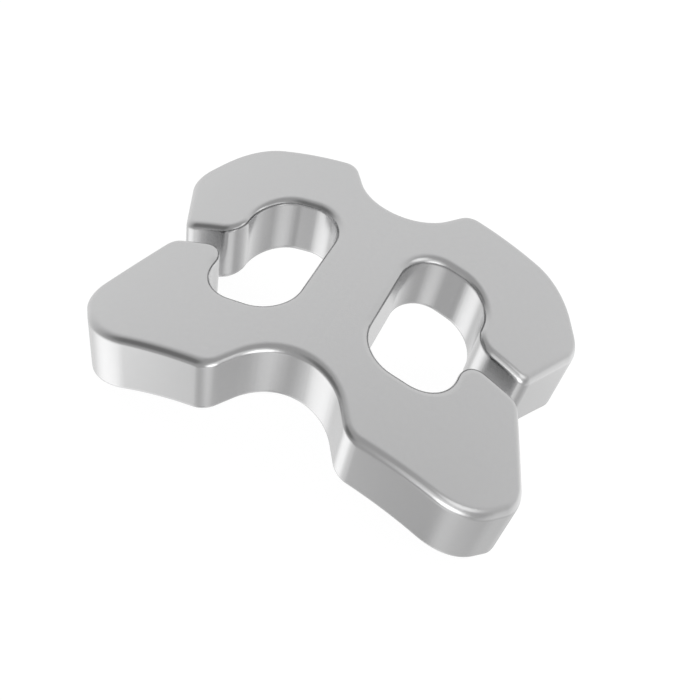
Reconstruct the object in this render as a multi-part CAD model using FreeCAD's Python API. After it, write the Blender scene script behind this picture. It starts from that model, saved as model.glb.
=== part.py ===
import FreeCAD, Part
import math
import os

# Suspensory fixation button: one arched titanium plate, cut through by two
# slots. Each slot opens to the plate's end through a narrow gap, so that a
# loop of suture can be slid in from the side.
# X runs along the plate, Y across it and Z up. The origin is on the ground,
# under the middle of the plate. All sizes are in millimetres.

# Arch: both faces are round about one axis, which lies along Y below the plate
thickness = 2.0
top_radius = 10.5
underside_radius = top_radius - thickness

# Rounded edges, all the way round each face
top_round = 0.17
underside_round = 0.10

# Bridge between the slots, narrowed by a waist on each side of the plate
half_waist = 1.65
waist_radius = 1.62

# Lobe: the quarter of the plate with positive X and Y. Between the end of its
# long side and its end corner, a short side slants inwards
half_width = 4.05
shoulder_x = 1.76
shoulder_radius = 0.63
long_side_end_x = 4.98
long_side_end_radius = 1.96
slant_length = 1.16
slant_width = 1.45
end_corner_x = long_side_end_x + slant_length
end_corner_y = half_width - slant_width
end_corner_radius = 0.8

# Gap between the two lobes of one wing
half_gap = 0.29
gap_mouth_x = 5.02
gap_mouth_radius = 0.43
gap_throat_radius = 0.55

# Slot that the gap opens into. Its outer side runs from the gap's throat,
# over a short straight stretch, into the slot's round corner
slot_inner_x = 0.99
slot_outer_x = 3.39
slot_corner_radius = 1.0
slot_side_straight = 0.08
slot_half_width = half_gap + gap_throat_radius + slot_side_straight + slot_corner_radius

# The bars that shape the two faces only have to be longer than the width
bar_length = 3 * half_width


def outline_corners():
    """The whole outline, clockwise, as sharp corners (x, y, rounding radius)."""
    quarter = [
        (0.0, half_waist, waist_radius),
        (shoulder_x, half_width, shoulder_radius),
        (long_side_end_x, half_width, long_side_end_radius),
        (end_corner_x, end_corner_y, end_corner_radius),
        (gap_mouth_x, half_gap, gap_mouth_radius),
        (slot_outer_x, half_gap, gap_throat_radius),
        (slot_outer_x, slot_half_width, slot_corner_radius),
        (slot_inner_x, slot_half_width, slot_corner_radius),
    ]
    opposite_quarter = [(x, -y, r) for x, y, r in reversed(quarter)]
    right_half = quarter + opposite_quarter
    left_half = [(-x, y, r) for x, y, r in reversed(right_half[1:-1])]
    return right_half + left_half


def rounded_face(corners):
    """A flat face inside the corners, with an arc in place of each one."""
    arcs = []
    count = len(corners)
    for i in range(count):
        x, y, radius = corners[i]
        corner = FreeCAD.Vector(x, y, 0)
        x_before, y_before, _ = corners[i - 1]
        x_after, y_after, _ = corners[(i + 1) % count]
        to_before = (FreeCAD.Vector(x_before, y_before, 0) - corner).normalize()
        to_after = (FreeCAD.Vector(x_after, y_after, 0) - corner).normalize()
        inwards = (to_before + to_after).normalize()
        half_angle = to_before.getAngle(to_after) / 2
        reach = radius / math.tan(half_angle)
        depth = radius / math.sin(half_angle) - radius
        start = corner + to_before * reach
        end = corner + to_after * reach
        arcs.append(Part.Arc(start, corner + inwards * depth, end))
    edges = []
    for i in range(count):
        edges.append(arcs[i].toShape())
        side_start = arcs[i].EndPoint
        side_end = arcs[(i + 1) % count].StartPoint
        edges.append(Part.LineSegment(side_start, side_end).toShape())
    return Part.Face(Part.Wire(edges))


def bar(radius):
    """A round bar along Y, with its axis at height 0."""
    start = FreeCAD.Vector(0, -bar_length / 2, 0)
    return Part.makeCylinder(radius, bar_length, start, FreeCAD.Vector(0, 1, 0))


def face_edges(shape, radius):
    """The edges of the round faces of that radius about the arch's axis."""
    edges = []
    for face in shape.Faces:
        surface = face.Surface
        if isinstance(surface, Part.Cylinder) and abs(surface.Axis.y) > 0.99:
            if abs(surface.Radius - radius) < 1e-6:
                edges += face.Edges
    return edges


# Cut the outline straight down through the arched sheet
arched_sheet = bar(top_radius).cut(bar(underside_radius))
column = rounded_face(outline_corners()).extrude(FreeCAD.Vector(0, 0, top_radius))
plate = column.common(arched_sheet)

# Round the edges of both faces
plate = plate.makeFillet(top_round, face_edges(plate, top_radius))
plate = plate.makeFillet(underside_round, face_edges(plate, underside_radius))

# Stand the plate on the ground
plate = plate.Solids[0]
ground = plate.optimalBoundingBox(False, False).ZMin
plate.translate(FreeCAD.Vector(0, 0, -ground))

os.makedirs("parts", exist_ok=True)
plate.exportStep("parts/button_plate.step")
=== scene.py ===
import bpy
import math
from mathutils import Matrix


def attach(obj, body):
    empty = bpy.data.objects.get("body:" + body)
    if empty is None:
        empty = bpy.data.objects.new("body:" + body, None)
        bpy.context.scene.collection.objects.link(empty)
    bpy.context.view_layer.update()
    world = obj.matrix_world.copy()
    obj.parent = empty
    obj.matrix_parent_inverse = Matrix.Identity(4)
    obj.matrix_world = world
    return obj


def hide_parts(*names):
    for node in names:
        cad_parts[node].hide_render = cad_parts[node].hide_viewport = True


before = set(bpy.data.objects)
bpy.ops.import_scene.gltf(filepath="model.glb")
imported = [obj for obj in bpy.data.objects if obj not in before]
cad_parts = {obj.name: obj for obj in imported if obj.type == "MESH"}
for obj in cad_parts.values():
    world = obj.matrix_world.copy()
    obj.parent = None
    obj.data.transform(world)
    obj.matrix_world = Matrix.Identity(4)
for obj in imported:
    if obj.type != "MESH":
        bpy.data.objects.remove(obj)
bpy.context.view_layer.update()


# Button plate
# One small arched plate of titanium alloy, 2 mm thick, milled from solid bar
# with all its edges rounded. A slot opens to each end through a narrow gap.
# It is modelled flat, in millimetres, and gets its arch and real size last.
thickness = 2.0
height = 4.3428
top_radius = 10.5
underside_radius = top_radius - thickness
top_round = 0.2
underside_round = 0.21

# Waist on each side of the bridge between the slots
half_waist = 1.65
waist_radius = 1.62

# Lobe, with a shoulder beside the waist and a corner at the plate's end
half_width = 4.05
shoulder_x = 1.76
shoulder_radius = 0.63
long_side_end_x = 4.98
long_side_end_radius = 1.96
end_corner_x = 6.14
end_corner_y = 2.6
end_corner_radius = 0.8

# Slot, and the gap from its outer side to the plate's end
slot_inner_x = 0.99
slot_outer_x = 3.39
slot_half_width = 1.92
slot_corner_radius = 1.0
half_gap = 0.29
gap_throat_radius = 0.55
gap_mouth_x = 5.02
gap_mouth_radius = 0.43

# One quarter of the outline, with the radius of each corner's rounding. It goes
# from the middle of the slot's inner side along the slot, out through the gap,
# back round the lobe and through the waist to the next quarter's shoulder
quarter = [
    (slot_inner_x, 0.0, 0.0),
    (slot_inner_x, slot_half_width, slot_corner_radius),
    (slot_outer_x, slot_half_width, slot_corner_radius),
    (slot_outer_x, half_gap, gap_throat_radius),
    (gap_mouth_x, half_gap, gap_mouth_radius),
    (end_corner_x, end_corner_y, end_corner_radius),
    (long_side_end_x, half_width, long_side_end_radius),
    (shoulder_x, half_width, shoulder_radius),
    (0.0, half_waist, waist_radius),
    (-shoulder_x, half_width, shoulder_radius),
]


def corner_arc(before, corner, after):
    """Where a corner's arc starts, its middle, and how far it turns left."""
    x, y, radius = corner
    way_in = math.atan2(y - before[1], x - before[0])
    way_out = math.atan2(after[1] - y, after[0] - x)
    turn = math.remainder(way_out - way_in, 2 * math.pi)
    reach = radius * math.tan(abs(turn) / 2)
    start_x = x - reach * math.cos(way_in)
    start_y = y - reach * math.sin(way_in)
    to_middle = way_in + math.copysign(math.pi / 2, turn)
    middle_x = start_x + radius * math.cos(to_middle)
    middle_y = start_y + radius * math.sin(to_middle)
    return start_x, start_y, middle_x, middle_y, turn


# Start with one vertex at the plate's middle and draw the quarter with it
bpy.ops.object.select_all(action="DESELECT")
bpy.ops.mesh.primitive_plane_add(size=1, location=(0, 0, 0))
plate = bpy.context.object
plate.name = "plate"
bpy.ops.object.mode_set(mode="EDIT")
bpy.ops.mesh.select_mode(type="VERT")
bpy.ops.mesh.merge(type="CENTER")
pen_x, pen_y, _ = quarter[0]
bpy.ops.mesh.extrude_vertices_move(
    TRANSFORM_OT_translate={"value": (pen_x, pen_y, 0)}
)

# Go straight to where each corner's arc starts, then round it in small steps
degrees_per_step = 3
for before, corner, after in zip(quarter, quarter[1:], quarter[2:]):
    start_x, start_y, middle_x, middle_y, turn = corner_arc(before, corner, after)
    if after == quarter[-1]:
        # The waist's arc ends halfway, on the plate's middle plane
        turn = turn / 2
    bpy.ops.mesh.extrude_vertices_move(
        TRANSFORM_OT_translate={"value": (start_x - pen_x, start_y - pen_y, 0)}
    )
    # About this axis, a spin by a positive angle turns left
    bpy.ops.mesh.spin(
        steps=math.ceil(math.degrees(abs(turn)) / degrees_per_step),
        angle=turn,
        center=(middle_x, middle_y, 0),
        axis=(0, 0, -1),
    )
    arm_x = start_x - middle_x
    arm_y = start_y - middle_y
    pen_x = middle_x + arm_x * math.cos(turn) - arm_y * math.sin(turn)
    pen_y = middle_y + arm_x * math.sin(turn) + arm_y * math.cos(turn)
bpy.ops.mesh.select_all(action="SELECT")
bpy.ops.mesh.edge_face_add()
bpy.ops.object.mode_set(mode="OBJECT")

# Mirror it to the other three quarters and make one flat face of them
bpy.ops.object.modifier_add(type="MIRROR")
plate.modifiers["Mirror"].use_axis = (True, True, False)
plate.modifiers["Mirror"].merge_threshold = 0.001
bpy.ops.object.modifier_apply(modifier="Mirror")
bpy.ops.object.mode_set(mode="EDIT")
bpy.ops.mesh.select_all(action="SELECT")
bpy.ops.mesh.normals_make_consistent(inside=False)
bpy.ops.mesh.dissolve_limited(angle_limit=math.radians(1))

# Thicken it
bpy.ops.mesh.select_all(action="SELECT")
bpy.ops.mesh.extrude_region_move(TRANSFORM_OT_translate={"value": (0, 0, thickness)})
bpy.ops.mesh.select_all(action="SELECT")
bpy.ops.mesh.normals_make_consistent(inside=False)
bpy.ops.mesh.select_all(action="DESELECT")
bpy.ops.object.mode_set(mode="OBJECT")

# Round the edges of both faces: the height of each face, how far its edge is
# rounded, and in how many steps
same_height = 0.0001
for level, rounding, steps in ((thickness, top_round, 8), (0.0, underside_round, 6)):
    for edge in plate.data.edges:
        heights = [plate.data.vertices[end].co.z for end in edge.vertices]
        edge.select = all(abs(z - level) < same_height for z in heights)
    bpy.ops.object.mode_set(mode="EDIT")
    bpy.ops.mesh.select_mode(type="EDGE")
    bpy.ops.mesh.bevel(
        affect="EDGES", offset=rounding, segments=steps, clamp_overlap=False
    )
    bpy.ops.mesh.select_all(action="DESELECT")
    bpy.ops.object.mode_set(mode="OBJECT")

# A narrow margin beside each rounding, first on the faces and then on the
# walls, keeps the shading of the rounding off them
margin = 0.02
for level in (thickness, 0.0):
    for face in plate.data.polygons:
        face.select = abs(face.center.z - level) < same_height
    bpy.ops.object.mode_set(mode="EDIT")
    bpy.ops.mesh.select_mode(type="FACE")
    bpy.ops.mesh.inset(thickness=margin)
    bpy.ops.mesh.select_all(action="DESELECT")
    bpy.ops.object.mode_set(mode="OBJECT")
bpy.ops.object.mode_set(mode="EDIT")
for level in (underside_round + margin, thickness - top_round - margin):
    bpy.ops.mesh.select_all(action="SELECT")
    bpy.ops.mesh.bisect(plane_co=(0, 0, level), plane_no=(0, 0, 1))

# Cut it across in narrow strips, so that it can follow the arch
strip_width = 0.1
cuts = 120
for cut in range(cuts):
    cut_x = (cut - (cuts - 1) / 2) * strip_width
    bpy.ops.mesh.select_all(action="SELECT")
    bpy.ops.mesh.bisect(plane_co=(cut_x, 0, 0), plane_no=(1, 0, 0))
bpy.ops.object.mode_set(mode="OBJECT")

# Arch it: the top goes up to the outer round and the underside to the inner
# one, and what lies between them moves in proportion
for vertex in plate.data.vertices:
    outer = math.sqrt(top_radius ** 2 - vertex.co.x ** 2)
    inner = math.sqrt(underside_radius ** 2 - vertex.co.x ** 2)
    share = vertex.co.z / thickness
    vertex.co.z = inner + (outer - inner) * share + height - top_radius

metres_per_mm = 0.001
plate.scale = (metres_per_mm, metres_per_mm, metres_per_mm)
bpy.ops.object.transform_apply(location=True, rotation=True, scale=True)
bpy.ops.object.shade_smooth()

# Blasting with fine glass beads leaves the metal an even satin grey, with a
# barely visible grain and slightly uneven gloss
titanium = bpy.data.materials.new("blasted titanium")
titanium.use_nodes = True
nodes = titanium.node_tree.nodes
links = titanium.node_tree.links
surface = nodes["Principled BSDF"]
surface.inputs["Metallic"].default_value = 1.0

place = nodes.new("ShaderNodeTexCoord")

grain = nodes.new("ShaderNodeTexNoise")
grain.inputs["Scale"].default_value = 9000
grain.inputs["Detail"].default_value = 3
links.new(place.outputs["Object"], grain.inputs["Vector"])

clouding = nodes.new("ShaderNodeTexNoise")
clouding.inputs["Scale"].default_value = 420
clouding.inputs["Detail"].default_value = 2
links.new(place.outputs["Object"], clouding.inputs["Vector"])

shade = nodes.new("ShaderNodeValToRGB")
shade.color_ramp.elements[0].color = (0.585, 0.585, 0.588, 1)
shade.color_ramp.elements[1].color = (0.615, 0.615, 0.618, 1)
links.new(grain.outputs["Fac"], shade.inputs["Fac"])
links.new(shade.outputs["Color"], surface.inputs["Base Color"])

satin = nodes.new("ShaderNodeMapRange")
satin.inputs["To Min"].default_value = 0.22
satin.inputs["To Max"].default_value = 0.26
links.new(clouding.outputs["Fac"], satin.inputs["Value"])
links.new(satin.outputs["Result"], surface.inputs["Roughness"])

pits = nodes.new("ShaderNodeBump")
pits.inputs["Strength"].default_value = 0.05
pits.inputs["Distance"].default_value = 0.00001
links.new(grain.outputs["Fac"], pits.inputs["Height"])
links.new(pits.outputs["Normal"], surface.inputs["Normal"])

plate.data.materials.append(titanium)
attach(plate, "root")
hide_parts("button_plate")


# Floor
# A plain white sheet that the plate stands on. It is white to the camera and
# keeps a faint shadow. The metal mirrors the studio straight through it.
bpy.ops.object.select_all(action="DESELECT")
bpy.ops.mesh.primitive_plane_add(size=0.6, location=(0, 0, 0))
floor = bpy.context.object
floor.name = "floor"
floor.visible_glossy = False
floor.visible_shadow = False

paper = bpy.data.materials.new("white paper")
paper.use_nodes = True
nodes = paper.node_tree.nodes
links = paper.node_tree.links
nodes.remove(nodes["Principled BSDF"])

lit_paper = nodes.new("ShaderNodeBsdfDiffuse")
lit_paper.inputs["Color"].default_value = (0.9, 0.9, 0.9, 1)

plain_white = nodes.new("ShaderNodeEmission")
plain_white.inputs["Strength"].default_value = 1.2

# The camera sees mostly plain white, and the rest of it is the lit paper
share_of_white = 0.75
ray = nodes.new("ShaderNodeLightPath")
whiteness = nodes.new("ShaderNodeMath")
whiteness.operation = "MULTIPLY"
whiteness.inputs[1].default_value = share_of_white
links.new(ray.outputs["Is Camera Ray"], whiteness.inputs[0])

floor_look = nodes.new("ShaderNodeMixShader")
links.new(whiteness.outputs["Value"], floor_look.inputs["Fac"])
links.new(lit_paper.outputs["BSDF"], floor_look.inputs[1])
links.new(plain_white.outputs["Emission"], floor_look.inputs[2])
links.new(floor_look.outputs["Shader"], nodes["Material Output"].inputs["Surface"])
floor.data.materials.append(paper)


# Studio
# An even grey dome all round, with soft round lights, reflectors and three
# dark cards on it, which the satin metal needs to show its edges. The camera
# itself sees plain white.
world = bpy.data.worlds.new("studio")
bpy.context.scene.world = world
world.use_nodes = True
nodes = world.node_tree.nodes
links = world.node_tree.links

direction = nodes.new("ShaderNodeTexCoord")
dome = nodes.new("ShaderNodeValue")
dome.outputs["Value"].default_value = 0.482
total = dome.outputs["Value"]

# Each light: azimuth and height in degrees, then where its full part and its
# fading part end, in degrees from its middle, then how much it adds
studio_lights = {
    "pale wall behind": (101, -10, 51, 110, 0.42),
    "dark card front left": (-134, 18, 1, 40, -0.28),
    "reflector low left": (-145, -55, 0, 29, 0.91),
    "small softbox front": (-52, -12, 13, 24, 1.42),
    "softbox front right": (-47, 7, 0, 35, 0.53),
    "reflector low front": (-64, -62, 0, 31, 0.59),
    "dark card below": (13, -75, 26, 35, -0.32),
    "dark card low front left": (-101, -65, 12, 21, -0.43),
    "reflector low right": (19, -41, 23, 36, 0.27),
    "softbox right": (-7, 25, 1, 23, 0.96),
    "white paper straight below": (0, -90, 3, 24, 0.4),
}
for name, (azimuth, elevation, full, fade, amount) in studio_lights.items():
    across = math.cos(math.radians(elevation))
    facing = nodes.new("ShaderNodeVectorMath")
    facing.label = name
    facing.operation = "DOT_PRODUCT"
    facing.inputs[1].default_value = (
        across * math.cos(math.radians(azimuth)),
        across * math.sin(math.radians(azimuth)),
        math.sin(math.radians(elevation)),
    )
    links.new(direction.outputs["Generated"], facing.inputs[0])
    glow = nodes.new("ShaderNodeMapRange")
    glow.interpolation_type = "SMOOTHSTEP"
    glow.inputs["From Min"].default_value = math.cos(math.radians(fade))
    glow.inputs["From Max"].default_value = math.cos(math.radians(full))
    glow.inputs["To Min"].default_value = 0.0
    glow.inputs["To Max"].default_value = amount
    links.new(facing.outputs["Value"], glow.inputs["Value"])
    together = nodes.new("ShaderNodeMath")
    together.operation = "ADD"
    links.new(total, together.inputs[0])
    links.new(glow.outputs["Result"], together.inputs[1])
    total = together.outputs["Value"]

ray = nodes.new("ShaderNodeLightPath")
seen = nodes.new("ShaderNodeMix")
seen.data_type = "FLOAT"
seen.inputs["B"].default_value = 1.0
links.new(ray.outputs["Is Camera Ray"], seen.inputs["Factor"])
links.new(total, seen.inputs["A"])
links.new(seen.outputs["Result"], nodes["Background"].inputs["Strength"])
nodes["Background"].inputs["Color"].default_value = (1, 1, 1, 1)


# Camera
# It looks down on the plate from the front, turned a little, from so close
# that the near lobe is clearly larger than the far one.
bpy.ops.object.select_all(action="DESELECT")
bpy.ops.object.camera_add(location=(0.0038106, -0.014333, 0.0214871))
camera = bpy.context.object
camera.rotation_euler = [math.radians(angle) for angle in (42.072, -10.619, 23.747)]
camera.data.sensor_width = 36
camera.data.lens = 46.356
camera.data.shift_x = -0.0571
camera.data.shift_y = -0.1429
camera.data.clip_start = 0.001
bpy.context.scene.camera = camera

bpy.context.scene.view_settings.view_transform = "Standard"
